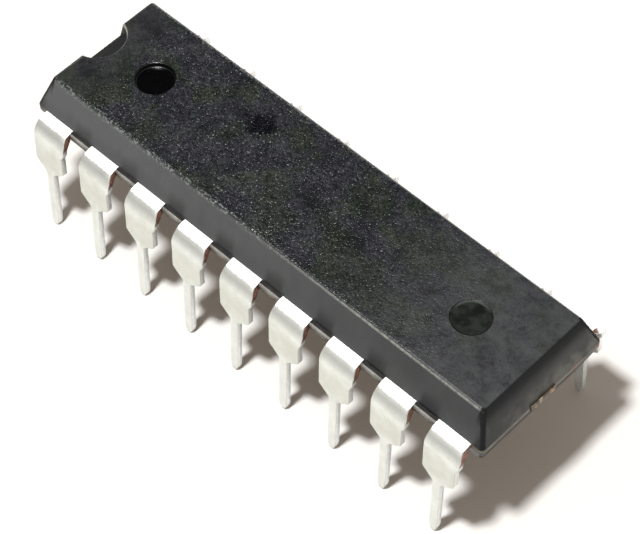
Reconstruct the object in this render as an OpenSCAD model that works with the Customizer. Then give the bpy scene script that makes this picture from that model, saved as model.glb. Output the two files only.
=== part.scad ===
// Dual in-line package: a resin body moulded around a lead frame, with nine leads along each side.
// Inside, a silicon die sits on its paddle and one bond wire runs from it to each lead.
// X runs along the rows with the notch at -X, Y runs across, and Z runs up from the lead tips.

/* [Rows] */
// Distance between neighbouring leads
lead_pitch = 2.54; // [2.4:0.01:2.7]
// From the middle of an end lead to the end of the body
end_margin = 1.27; // [1.1:0.01:1.5]

/* [Body] */
// Width of the body where its two halves meet
body_width = 6.35; // [6.1:0.05:7.1]
// Height of the body above the lead frame
upper_height = 1.46; // [1.3:0.02:1.8]
// Height of the body below the lead frame
lower_height = 1.59; // [1.3:0.02:1.8]
// Draft of the long sides, in degrees
side_draft = 21.1; // [5:0.1:24]
// Draft of the ends, in degrees
end_draft = 18.7; // [5:0.1:24]
// Rounding of the body's edges
edge_radius = 0.18; // [0.08:0.01:0.3]

/* [Marks moulded in the body] */
// Radius of the notch in the end
notch_radius = 1.1; // [0.8:0.02:1.3]
// Depth of the notch below the top face
notch_depth = 1; // [0.3:0.02:1.2]
// How far the notch's centre lies inside the end of the body
notch_centre_inset = 0.23; // [0:0.01:0.4]
// Diameter of the glossy recess beside the notch
recess_diameter = 1.55; // [1:0.05:2]
// Chamfer round the mouth of the glossy recess
recess_chamfer = 0.04; // [0.02:0.01:0.08]
// Depth of the glossy recess
recess_depth = 0.22; // [0.1:0.01:0.4]
// Rounding at the floor of the glossy recess
recess_floor_radius = 0.08; // [0.02:0.01:0.09]
// Diameter of the marks left by the ejector pins
ejector_diameter = 1.56; // [1:0.02:2]
// Depth of the ejector marks
ejector_depth = 0.08; // [0.03:0.01:0.15]
// Distance of the round marks from the middle of the body
mark_distance = 8.02; // [6:0.02:8.6]

/* [Resin ledges between the leads] */
// How far a ledge stands out at its top edge
ledge_top_reach = 0.13; // [0.05:0.01:0.2]
// How much further its broken face reaches at its bottom edge
ledge_break_lean = 0.1; // [0:0.01:0.15]

/* [Leads outside the body] */
// Thickness of the strip that the lead frame is cut from
strip_thickness = 0.25; // [0.2:0.01:0.3]
// Height of the lead frame's upper face above the lead tips
frame_height = 5.66; // [5.4:0.02:6.2]
// Width of a lead at its shoulder
shoulder_width = 1.5; // [1.2:0.02:1.7]
// Flat run of a lead between the body and its bend
shoulder_run = 0.03; // [0.02:0.01:0.2]
// Outer radius of the bend
bend_radius = 0.76; // [0.6:0.02:0.9]
// Lean of the legs away from the body, in degrees
leg_splay = 2.8; // [0:0.2:5]
// Drop from the frame's upper face to where the shoulder starts to narrow
shoulder_drop = 2.04; // [1.8:0.02:2.3]
// Height over which the shoulder narrows to the leg
taper_height = 0.44; // [0.3:0.02:0.6]
// Rounding where the shoulder starts to narrow
shoulder_corner_radius = 0.15; // [0.05:0.01:0.2]
// Rounding where the narrowing meets the leg
leg_corner_radius = 0.22; // [0.05:0.01:0.25]
// Width of a leg
leg_width = 0.38; // [0.36:0.01:0.56]
// Height of the pointed tip
tip_height = 0.4; // [0.3:0.02:0.8]
// Width of the tip's blunt end
tip_width = 0.14; // [0.05:0.01:0.2]
// Drop from the frame's upper face to the stub left by the cut dam bar
stub_drop = 0.12; // [0.08:0.01:0.3]
// Height of the stub
stub_height = 0.96; // [0.7:0.02:1.1]
// How far the stub stands out from the lead's side
stub_reach = 0.14; // [0.03:0.01:0.16]

/* [Leads inside the body] */
// Depth to which a lead keeps its full width inside the body
root_depth = 0.75; // [0.6:0.01:0.8]
// Width of the notches that lock a lead into the resin
anchor_width = 0.2; // [0.1:0.01:0.25]
// Depth of those notches into each side of a lead
anchor_depth = 0.25; // [0.1:0.01:0.3]
// Width of a finger
finger_width = 0.3; // [0.2:0.01:0.32]
// Smallest gap between fingers, and between fingers and the tie bars
finger_gap = 0.2; // [0.15:0.01:0.22]
// Gap between the fingers and the paddle
paddle_gap = 0.25; // [0.2:0.01:0.35]
// Length of the middle fingers between their roots and their tips
middle_finger_length = 0.675; // [0.6:0.005:0.8]
// Spread of the finger tips beside the long sides of the paddle
middle_tip_pitch = 1.3; // [1:0.02:1.5]

/* [Paddle and die] */
// Length of the paddle
paddle_length = 4; // [3.6:0.05:4.4]
// How far the paddle is set down below the fingers
paddle_drop = 0.2; // [0.1:0.01:0.25]
// Width of the tie bars
tie_width = 0.3; // [0.2:0.01:0.4]
// Width of a tie bar where it leaves the body
tie_head_width = 1.3; // [0.8:0.02:1.5]
// Length of that wide part
tie_head_length = 0.9; // [0.5:0.02:1]
// How far the cut end of a tie bar stands out from the body
tie_stub = 0.05; // [0.01:0.01:0.1]
// Thickness of the adhesive under the die
adhesive_thickness = 0.03; // [0.02:0.01:0.05]
// From the ends of the paddle to the die
die_end_margin = 0.7; // [0.4:0.05:0.9]
// From the long sides of the paddle to the die
die_side_margin = 0.55; // [0.35:0.05:0.7]
// Thickness of the die
die_thickness = 0.28; // [0.2:0.01:0.35]

/* [Bond wires] */
// Diameter of a bond wire
wire_diameter = 0.03; // [0.025:0.001:0.05]
// Diameter of the ball that joins a wire to the die
ball_diameter = 0.08; // [0.06:0.005:0.1]
// Height of the ball
ball_height = 0.025; // [0.015:0.001:0.03]
// Height of the wire's loop above the die
loop_height = 0.25; // [0.15:0.01:0.35]
// Length of wire that lies flat on the finger
stitch_length = 0.06; // [0.04:0.005:0.08]
// From the end of a finger to the end of its wire
stitch_inset = 0.22; // [0.18:0.01:0.3]
// From the edge of the die to the middle of a pad
pad_inset = 0.1; // [0.06:0.01:0.15]

/* [Hidden] */
row_count = 9;
lead_count = 2 * row_count;
middle_index = (row_count - 1) / 2;
row_length = (row_count - 1) * lead_pitch;
body_length = row_length + 2 * end_margin;
body_end = body_length / 2;
body_side = body_width / 2;

frame_top = frame_height;
frame_bottom = frame_top - strip_thickness;
body_top = frame_top + upper_height;
body_bottom = frame_bottom - lower_height;

bend_start = body_side + shoulder_run;
bend_inner_radius = bend_radius - strip_thickness;
bend_centre_height = frame_top - bend_radius;
outline_depth = bend_start + bend_radius + frame_height * tan(leg_splay) + strip_thickness;
half_shoulder = shoulder_width / 2;
half_leg = leg_width / 2;
corner_steps = 6;
tip_break_share = 0.3;
tip_break_height = tip_height / 2;
tip_break_inset = (half_leg - tip_width / 2) * tip_break_share;
stub_slope_height = 2 * stub_reach;
ledge_reach = ledge_top_reach + ledge_break_lean;

root_end = body_side - root_depth;
anchor_end = body_side - anchor_width;
anchor_start = anchor_end - anchor_width;
finger_overlap = 0.1;
finger_pitch = finger_width + finger_gap;
first_finger_line = tie_width / 2 + finger_gap + finger_width / 2;
side_tip = paddle_length / 2 + paddle_gap;
middle_tip = root_end - middle_finger_length;
middle_tip_run = 0.25;

paddle_width = 2 * (middle_tip - paddle_gap);
paddle_top = frame_top - paddle_drop;
paddle_bottom = paddle_top - strip_thickness;
tie_flat = 0.1;
tie_bend_start = paddle_length / 2 + tie_flat;
tie_bend_end = tie_bend_start + paddle_drop;
tie_end = body_end + tie_stub;
die_length = paddle_length - 2 * die_end_margin;
die_width = paddle_width - 2 * die_side_margin;
die_bottom = paddle_top + adhesive_thickness;
die_top = die_bottom + die_thickness;

wire_radius = wire_diameter / 2;
wire_sides = 6;
wire_lift = wire_radius * cos(180 / wire_sides);
pad_pitch = (die_width - 2 * pad_inset) / (2 * middle_index - 2);
middle_pad_pitch = die_length / 4;
// Stations of the loop between pad and finger: [share of the span, share of the loop's height above
// the die, lean of the wire from upright in degrees]
loop_stations = [
    [0, 0.2, 0],
    [0, 0.7, 15],
    [0.06, 0.95, 55],
    [0.16, 1, 95],
    [0.5, 0.72, 108]
];
stitch_lean = 100;
level_lean = 90;

curve_detail = 96;
edge_detail = 32;
cut_margin = 0.5;
notch_lip = 0.06;

// Row index runs from -4 to 4 along X, and side is -1 for the row at -Y and 1 for the row at +Y.
// Lead numbers run along -Y from the notch and come back along +Y.
function lead_side(number) = number <= row_count ? -1 : 1;
function lead_index(number) =
    number <= row_count ? number - 1 - middle_index : lead_count - number - middle_index;
function two_digits(number) = number < 10 ? str("0", number) : str(number);
function lead_name(number) = str("lead_", two_digits(number));
function wire_name(number) = str("bond_wire_", two_digits(number));

// The three leads nearest each end run to the ends of the paddle, and the rest to its long sides.
function runs_to_end(index) = abs(index) > 1;
function finger_line(index) = first_finger_line + (middle_index - abs(index)) * finger_pitch;

// Centre line of a finger in its own quadrant pair, from its root to its tip, for the row at +Y
function finger_path(index) = runs_to_end(index)
    ? [
        [index * lead_pitch, root_end + finger_overlap],
        [index * lead_pitch, root_end - finger_overlap],
        [
            sign(index) * (abs(index) * lead_pitch - (root_end - finger_overlap - finger_line(index))),
            finger_line(index)
        ],
        [sign(index) * side_tip, finger_line(index)]
    ]
    : [
        [index * lead_pitch, root_end + finger_overlap],
        [index * lead_pitch, root_end - finger_overlap],
        [index * middle_tip_pitch, middle_tip + middle_tip_run],
        [index * middle_tip_pitch, middle_tip]
    ];

// Where the wire leaves the die, and where it ends on the finger, for the row at +Y
function pad_place(index) = runs_to_end(index)
    ? [sign(index) * (die_length / 2 - pad_inset), (middle_index - abs(index) + 0.5) * pad_pitch]
    : [index * middle_pad_pitch, die_width / 2 - pad_inset];
function stitch_place(index) = runs_to_end(index)
    ? [sign(index) * (side_tip + stitch_inset), finger_line(index)]
    : [index * middle_tip_pitch, middle_tip + stitch_inset];

// Outline of a strip of even width along a path, with mitred corners
function unit(v) = v / norm(v);
function leftward(v) = [-v[1], v[0]];
function mitre_point(path, i, reach) =
    let (
        last = len(path) - 1,
        before = i > 0 ? unit(path[i] - path[i - 1]) : unit(path[1] - path[0]),
        after = i < last ? unit(path[i + 1] - path[i]) : before,
        bisector = unit(leftward(before) + leftward(after))
    )
    path[i] + bisector * reach / (bisector * leftward(before));
function strip_outline(path, width) = concat(
    [for (i = [0:len(path) - 1]) mitre_point(path, i, width / 2)],
    [for (i = [len(path) - 1:-1:0]) mitre_point(path, i, -width / 2)]
);

// Points of a round of the given radius that replaces a corner
function round_corner(before, corner, after, radius) =
    let (
        to_before = unit(before - corner),
        to_after = unit(after - corner),
        half_angle = acos(to_before * to_after) / 2,
        centre = corner + unit(to_before + to_after) * radius / sin(half_angle),
        first = corner + to_before * radius / tan(half_angle) - centre,
        last = corner + to_after * radius / tan(half_angle) - centre
    )
    [
        for (i = [0:corner_steps])
            let (mix = first * (1 - i / corner_steps) + last * i / corner_steps)
            centre + unit(mix) * radius
    ];

// One side of a lead seen square on, from the frame down to the tip, at distance from its middle
taper_top = [half_shoulder, frame_top - shoulder_drop];
taper_bottom = [half_leg, frame_top - shoulder_drop - taper_height];
leg_break = [half_leg, tip_height];
outline_top = [half_shoulder, frame_top + cut_margin];
plain_side = concat(
    [outline_top],
    round_corner(outline_top, taper_top, taper_bottom, shoulder_corner_radius),
    round_corner(taper_top, taper_bottom, leg_break, leg_corner_radius),
    [
        leg_break,
        [half_leg - tip_break_inset, tip_break_height],
        [tip_width / 2, 0]
    ]
);

// The stub that the cut dam bar leaves on the side away from the notch, outside the resin ledge
stub_top = frame_top - stub_drop;
stub_bottom = stub_top - stub_height;
stub_points = [
    [half_shoulder - stub_reach, stub_top],
    [half_shoulder, stub_top],
    [half_shoulder + stub_reach, stub_top - stub_slope_height],
    [half_shoulder + stub_reach, stub_bottom + stub_slope_height],
    [half_shoulder, stub_bottom],
    [half_shoulder - stub_reach, stub_bottom]
];

function mirrored(points) = [for (i = [len(points) - 1:-1:0]) [-points[i][0], points[i][1]]];

// An outline seen square on, reaching outwards from a distance to the middle of the body
module outwards_from(distance) {
    translate([0, outline_depth, 0])
        rotate([90, 0, 0])
            linear_extrude(outline_depth - distance)
                children();
}

// Section of the bent strip, with distance from the middle of the body along x and height along y
module bent_strip_section() {
    leg_reach = 2 * frame_height;
    translate([body_side - root_depth / 2, frame_bottom])
        square([bend_start - body_side + root_depth / 2, strip_thickness]);
    translate([bend_start, bend_centre_height]) {
        intersection() {
            difference() {
                circle(r = bend_radius, $fn = curve_detail);
                circle(r = bend_inner_radius, $fn = curve_detail);
            }
            polygon([
                [0, 0],
                [leg_reach * cos(leg_splay), leg_reach * sin(leg_splay)],
                [leg_reach, leg_reach],
                [0, leg_reach]
            ]);
        }
        rotate(leg_splay)
            translate([bend_inner_radius, -leg_reach])
                square([strip_thickness, leg_reach]);
    }
}

// The part of a lead from the body's side to its tip, at the middle of the row at +Y
module lead_outside() {
    half_outline = half_shoulder + stub_reach + cut_margin;
    intersection() {
        translate([-half_outline, 0, 0])
            rotate([90, 0, 90])
                linear_extrude(2 * half_outline)
                    bent_strip_section();
        union() {
            outwards_from(body_side)
                polygon(concat(plain_side, mirrored(plain_side)));
            outwards_from(body_side + ledge_reach)
                polygon(stub_points);
        }
    }
}

// The flat part of a lead inside the body: a full-width root with locking notches, then the finger
module lead_inside(index) {
    x = index * lead_pitch;
    translate([0, 0, frame_bottom])
        linear_extrude(strip_thickness) {
            difference() {
                translate([x - half_shoulder, root_end])
                    square([shoulder_width, root_depth]);
                for (edge = [-1, 1])
                    translate([x + edge * half_shoulder - anchor_depth, anchor_start])
                        square([2 * anchor_depth, anchor_width]);
            }
            polygon(strip_outline(finger_path(index), finger_width));
        }
}

module in_row(side) {
    if (side < 0)
        mirror([0, 1, 0])
            children();
    else
        children();
}

module lead(number) {
    index = lead_index(number);
    color("gainsboro")
        in_row(lead_side(number)) {
            translate([index * lead_pitch, 0, 0])
                lead_outside();
            lead_inside(index);
        }
}

// A ball with true poles, for rounding the body
module edge_ball() {
    rotate_extrude($fn = edge_detail)
        intersection() {
            circle(r = edge_radius, $fn = edge_detail);
            translate([0, -edge_radius])
                square([edge_radius, 2 * edge_radius]);
        }
}

// Distance that a drafted wall has stepped in at the centre of the ball that rounds its far edge
function ball_inset(height, draft) = (height - edge_radius) * tan(draft) + edge_radius / cos(draft);

module drafted_body() {
    hull() {
        for (x = [-1, 1], y = [-1, 1]) {
            translate([x * (body_end - edge_radius), y * (body_side - edge_radius), frame_bottom])
                cylinder(r = edge_radius, h = strip_thickness, $fn = edge_detail);
            translate([
                x * (body_end - ball_inset(upper_height, end_draft)),
                y * (body_side - ball_inset(upper_height, side_draft)),
                body_top - edge_radius
            ])
                edge_ball();
            translate([
                x * (body_end - ball_inset(lower_height, end_draft)),
                y * (body_side - ball_inset(lower_height, side_draft)),
                body_bottom + edge_radius
            ])
                edge_ball();
        }
    }
}

// Broken resin between two leads: narrow on top and leaning out to its lower edge
module resin_ledge(index) {
    inside = edge_radius;
    translate([index * lead_pitch + half_shoulder, 0, 0])
        rotate([90, 0, 90])
            linear_extrude(lead_pitch - shoulder_width)
                polygon([
                    [body_side - inside, frame_top],
                    [body_side + ledge_top_reach, frame_top],
                    [body_side + ledge_reach, frame_bottom],
                    [body_side - inside, frame_bottom]
                ]);
}

module end_notch() {
    translate([-(body_end - notch_centre_inset), 0, body_top - notch_depth]) {
        cylinder(r = notch_radius, h = notch_depth + cut_margin, $fn = curve_detail);
        translate([0, 0, notch_depth - notch_lip])
            cylinder(
                r1 = notch_radius,
                r2 = notch_radius + notch_lip + cut_margin,
                h = notch_lip + cut_margin,
                $fn = curve_detail
            );
    }
}

// Round recess with a rounded floor and a chamfered mouth, open upwards from its floor at z = 0
module round_recess(diameter, depth, floor_radius, chamfer) {
    radius = diameter / 2;
    above_mouth = chamfer + cut_margin;
    floor_corner = [
        for (i = [0:corner_steps])
            let (angle = 90 * i / corner_steps - 90)
            [
                radius - floor_radius + floor_radius * cos(angle),
                floor_radius + floor_radius * sin(angle)
            ]
    ];
    rotate_extrude($fn = curve_detail)
        polygon(concat(
            [[0, 0]],
            floor_corner,
            [
                [radius, depth - chamfer],
                [radius + above_mouth, depth - chamfer + above_mouth],
                [0, depth - chamfer + above_mouth]
            ]
        ));
}

module package_body() {
    color("#26272a")
        difference() {
            union() {
                drafted_body();
                for (side = [-1, 1], index = [-middle_index:middle_index - 1])
                    in_row(side)
                        resin_ledge(index);
            }
            end_notch();
            translate([-mark_distance, 0, body_top - recess_depth])
                round_recess(recess_diameter, recess_depth, recess_floor_radius, recess_chamfer);
            translate([mark_distance, 0, body_top - ejector_depth])
                cylinder(d = ejector_diameter, h = ejector_depth + cut_margin, $fn = curve_detail);
            for (x = [-1, 1])
                translate([x * mark_distance, 0, body_bottom - cut_margin])
                    cylinder(d = ejector_diameter, h = ejector_depth + cut_margin, $fn = curve_detail);
            for (number = [1:lead_count]) {
                in_row(lead_side(number))
                    lead_inside(lead_index(number));
                bond_wire(number);
            }
            die_paddle();
            die_adhesive();
            silicon_die();
        }
}

// A tie bar: it climbs from the paddle to the height of the frame and leaves the body at its end
module tie_bar() {
    overlap = finger_overlap;
    translate([0, tie_width / 2, 0])
        rotate([90, 0, 0])
            linear_extrude(tie_width)
                polygon([
                    [paddle_length / 2 - overlap, paddle_bottom],
                    [tie_bend_start, paddle_bottom],
                    [tie_bend_end, frame_bottom],
                    [tie_end, frame_bottom],
                    [tie_end, frame_top],
                    [tie_bend_end, frame_top],
                    [tie_bend_start, paddle_top],
                    [paddle_length / 2 - overlap, paddle_top]
                ]);
    translate([body_end - tie_head_length, -tie_head_width / 2, frame_bottom])
        cube([tie_head_length + tie_stub, tie_head_width, strip_thickness]);
}

module die_paddle() {
    color("#b87333") {
        translate([-paddle_length / 2, -paddle_width / 2, paddle_bottom])
            cube([paddle_length, paddle_width, strip_thickness]);
        tie_bar();
        mirror([1, 0, 0])
            tie_bar();
    }
}

module die_adhesive() {
    color("silver")
        translate([-die_length / 2, -die_width / 2, paddle_top])
            cube([die_length, die_width, adhesive_thickness]);
}

module silicon_die() {
    color("slategray")
        translate([-die_length / 2, -die_width / 2, die_bottom])
            cube([die_length, die_width, die_thickness]);
}

// Stations along a wire: [distance from the pad, height, lean from upright, radius]
function wire_stations(span) = concat(
    [
        [0, die_top, 0, ball_diameter / 2],
        [0, die_top + ball_height, 0, ball_diameter / 2]
    ],
    [
        for (station = loop_stations)
            [span * station[0], die_top + loop_height * station[1], station[2], wire_radius]
    ],
    [
        [span - stitch_length, frame_top + wire_lift, stitch_lean, wire_radius],
        [span, frame_top + wire_lift, level_lean, wire_radius]
    ]
);

// A round wire swept through its stations, with a flat of its section down where it lies on the finger
module bond_wire(number) {
    index = lead_index(number);
    side = lead_side(number);
    pad = pad_place(index);
    stitch = stitch_place(index);
    heading = atan2(stitch[1] - pad[1], stitch[0] - pad[0]);
    stations = wire_stations(norm(stitch - pad));
    last = len(stations) - 1;
    points = [
        for (station = stations, i = [0:wire_sides - 1])
            let (
                angle = 360 * i / wire_sides,
                across = station[3] * cos(angle),
                outward = station[3] * sin(angle)
            )
            [
                station[0] - outward * cos(station[2]),
                across,
                station[1] + outward * sin(station[2])
            ]
    ];
    walls = [
        for (s = [0:last - 1], i = [0:wire_sides - 1])
            let (
                a = s * wire_sides + i,
                b = s * wire_sides + (i + 1) % wire_sides
            )
            [a, a + wire_sides, b + wire_sides, b]
    ];
    ends = [
        [for (i = [0:wire_sides - 1]) i],
        [for (i = [wire_sides - 1:-1:0]) last * wire_sides + i]
    ];
    color("gold")
        in_row(side)
            translate([pad[0], pad[1], 0])
                rotate(heading)
                    polyhedron(points = points, faces = concat(walls, ends), convexity = 4);
}

package_body();
die_paddle();
die_adhesive();
silicon_die();
for (number = [1:lead_count]) {
    lead(number);
    bond_wire(number);
}
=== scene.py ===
import math

import bmesh
import bpy
from mathutils import Matrix, Quaternion, Vector


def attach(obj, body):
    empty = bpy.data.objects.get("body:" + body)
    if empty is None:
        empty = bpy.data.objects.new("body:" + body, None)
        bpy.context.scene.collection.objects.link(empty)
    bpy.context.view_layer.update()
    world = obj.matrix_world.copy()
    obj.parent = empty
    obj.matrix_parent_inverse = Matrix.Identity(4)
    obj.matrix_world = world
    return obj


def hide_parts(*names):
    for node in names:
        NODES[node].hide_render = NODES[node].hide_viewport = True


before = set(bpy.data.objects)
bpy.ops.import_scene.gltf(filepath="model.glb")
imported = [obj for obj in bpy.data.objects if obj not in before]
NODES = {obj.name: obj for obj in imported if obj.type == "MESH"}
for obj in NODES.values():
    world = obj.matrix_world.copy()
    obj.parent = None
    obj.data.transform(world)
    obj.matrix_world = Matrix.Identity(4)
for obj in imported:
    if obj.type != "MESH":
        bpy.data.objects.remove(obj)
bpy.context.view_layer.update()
MM = 0.001

# Sizes in millimetres, as in the CAD model
FRAME_TOP = 5.66
STRIP = 0.25
BODY_SIDE = 3.175
BODY_END = 11.43
BODY_TOP = 7.12
PITCH = 2.54
BEND_START = BODY_SIDE + 0.03
BEND_R = 0.76
SPLAY = math.radians(2.8)
SIDE_DRAFT = math.radians(21.1)
END_DRAFT = math.radians(18.7)
HALF_SHOULDER = 0.75
HALF_LEG = 0.19
SHOULDER_DROP = 2.04
TAPER = 0.44
SHOULDER_ROUND = 0.15
LEG_ROUND = 0.22
TIP_H = 0.4
HALF_TIP = 0.07
STUB_DROP = 0.12
STUB_H = 0.96
STUB_OUT = 0.14
LEDGE_OUT = 0.23
ROOT_END = BODY_SIDE - 0.75
ANCHOR_END = BODY_SIDE - 0.2
ANCHOR_START = ANCHOR_END - 0.2
ANCHOR_IN = 0.25
FINGER = 0.3
MARK_X = 8.02
NOTCH_R = 1.1
NOTCH_START = -(BODY_END - 0.23 - NOTCH_R)

# Where the looks of the body change, in millimetres, close to edges of the solid but not on them
TOP_SIDE = 2.60
TOP_END = 10.79
MARK_R = 0.80
RECESS_FLOOR = 6.904

# Leads in a row
ROW = 9


# Nodes and materials

def add_node(tree, kind, settings=None, inputs=None):
    """A new node with its settings, and with its inputs set to numbers or joined to sockets."""
    n = tree.nodes.new(kind)
    for key, value in (settings or {}).items():
        setattr(n, key, value)
    for key, value in (inputs or {}).items():
        if isinstance(value, bpy.types.NodeSocket):
            tree.links.new(value, n.inputs[key])
        else:
            n.inputs[key].default_value = value
    return n


class Graph:
    """A material's node tree with short ways to add nodes and join them. Places are in mm."""

    def __init__(self, name, viewport):
        self.mat = bpy.data.materials.new(name)
        self.mat.use_nodes = True
        self.mat.diffuse_color = (*viewport, 1)
        self.tree = self.mat.node_tree
        self.bsdf = self.tree.nodes["Principled BSDF"]
        coords = self.node("ShaderNodeTexCoord")
        scaled = self.node("ShaderNodeVectorMath", {"operation": "SCALE"},
                           {0: coords.outputs["Object"], "Scale": 1 / MM})
        self.mm = scaled.outputs[0]
        parts = self.node("ShaderNodeSeparateXYZ", {}, {0: self.mm})
        self.x, self.y, self.z = parts.outputs

    def node(self, kind, settings=None, inputs=None):
        return add_node(self.tree, kind, settings, inputs)

    def math(self, op, a, b=0.0):
        return self.node("ShaderNodeMath", {"operation": op}, {0: a, 1: b}).outputs[0]

    def add(self, a, b):
        return self.math("ADD", a, b)

    def sub(self, a, b):
        return self.math("SUBTRACT", a, b)

    def mul(self, *values):
        """The product of two or more values."""
        result = values[0]
        for value in values[1:]:
            result = self.math("MULTIPLY", result, value)
        return result

    def spread(self, noise, width):
        """The noise moved to lie evenly about 0, that wide in all."""
        return self.mul(self.sub(noise, 0.5), width)

    def step(self, value, low, high):
        """0 below low, 1 above high, smooth in between. low may be the larger of the two."""
        flip = low > high
        n = self.node("ShaderNodeMapRange", {"interpolation_type": "SMOOTHSTEP"},
                      {0: value, 1: min(low, high), 2: max(low, high),
                       3: 1.0 if flip else 0.0, 4: 0.0 if flip else 1.0})
        return n.outputs[0]

    def ramp(self, value, low, high, out_low, out_high):
        """From out_low at low to out_high at high, straight in between and level beyond."""
        n = self.node("ShaderNodeMapRange", {}, {0: value, 1: low, 2: high, 3: out_low, 4: out_high})
        return n.outputs[0]

    def noise(self, scale, detail, rough, vector=None, offset=None):
        """Noise with that many waves to the mm, moved by offset so that no two patterns agree."""
        at = vector or self.mm
        if offset:
            at = self.node("ShaderNodeVectorMath", {"operation": "ADD"}, {0: at, 1: offset}).outputs[0]
        n = self.node("ShaderNodeTexNoise", {},
                      {"Vector": at, "Scale": scale, "Detail": detail, "Roughness": rough})
        return n.outputs["Fac"]

    def stretch(self, sx, sy, sz):
        n = self.node("ShaderNodeVectorMath", {"operation": "MULTIPLY"}, {0: self.mm, 1: (sx, sy, sz)})
        return n.outputs[0]

    def mix(self, amount, a, b):
        """Colour a where amount is 0 and colour b where it is 1."""
        inputs = {0: amount}
        for key, value in ((6, a), (7, b)):
            inputs[key] = (*value, 1) if isinstance(value, tuple) else value
        return self.node("ShaderNodeMix", {"data_type": "RGBA"}, inputs).outputs[2]

    def bump(self, height, distance):
        return self.node("ShaderNodeBump", {}, {"Height": height, "Distance": distance * MM}).outputs[0]

    def near(self, cx, cy):
        """Distance in the XY plane from a point, in mm."""
        dx = self.sub(self.x, cx)
        dy = self.sub(self.y, cy)
        return self.math("SQRT", self.add(self.mul(dx, dx), self.mul(dy, dy)))

    def finish(self, color, rough, normal, metal=0.0, level=0.5):
        """Joins the three to the shader, sets its two even values and gives the material."""
        for name, value in (("Base Color", color), ("Roughness", rough), ("Normal", normal)):
            self.tree.links.new(value, self.bsdf.inputs[name])
        self.bsdf.inputs["Metallic"].default_value = metal
        self.bsdf.inputs["Specular IOR Level"].default_value = level
        return self.mat


# Colours of the moulding resin, linear
RESIN = {
    "green_black": (0.0012, 0.0028, 0.0016),
    "blue_black": (0.0020, 0.0021, 0.0044),
    "cloud": (0.0078, 0.0084, 0.0070),
    "pale_green": (0.024, 0.030, 0.021),
    "pale_blue": (0.027, 0.0275, 0.034),
    # Painted glints on the grainy top
    "painted_glint": (0.13, 0.14, 0.125),
    "blotch": (0.0012, 0.0016, 0.0016),
    "mark_dark": (0.0022, 0.0032, 0.0026),
    "mark_pale": (0.0112, 0.0138, 0.0116),
    "mark_lit_rim": (0.034, 0.038, 0.035),
    # Painted shade on the far side of the ejector mark's rim
    "mark_rim_painted_shade": (0.0006, 0.0008, 0.0008),
    "notch_haze": (0.026, 0.027, 0.026),
    "bare_haze": (0.030, 0.0315, 0.0325),
    "side": (0.043, 0.045, 0.0475),
    "smudge": (0.082, 0.080, 0.064),
    "seam": (0.15, 0.13, 0.095),
    "seam_copper": (0.33, 0.085, 0.035),
    # Painted highlight along the long upper edges
    "painted_edge_highlight": (0.165, 0.172, 0.158),
    "edge_fleck": (0.125, 0.135, 0.128),
    "spot": (0.0006, 0.0006, 0.0018),
    "ledge_top": (0.012, 0.0105, 0.0095),
    "ledge_dull": (0.150, 0.150, 0.138),
    "ledge_pale": (0.225, 0.225, 0.212),
    # Painted light at the foot of the broken ledges
    "ledge_foot_painted_light": (0.27, 0.262, 0.232),
    # Painted shade for the end's upper part and its corners
    "corner": (0.0008, 0.0008, 0.0010),
    "notch": (0.0030, 0.0032, 0.0030),
    # Painted highlight on the notch's rim
    "notch_rim_painted_highlight": (0.16, 0.16, 0.14),
}


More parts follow.
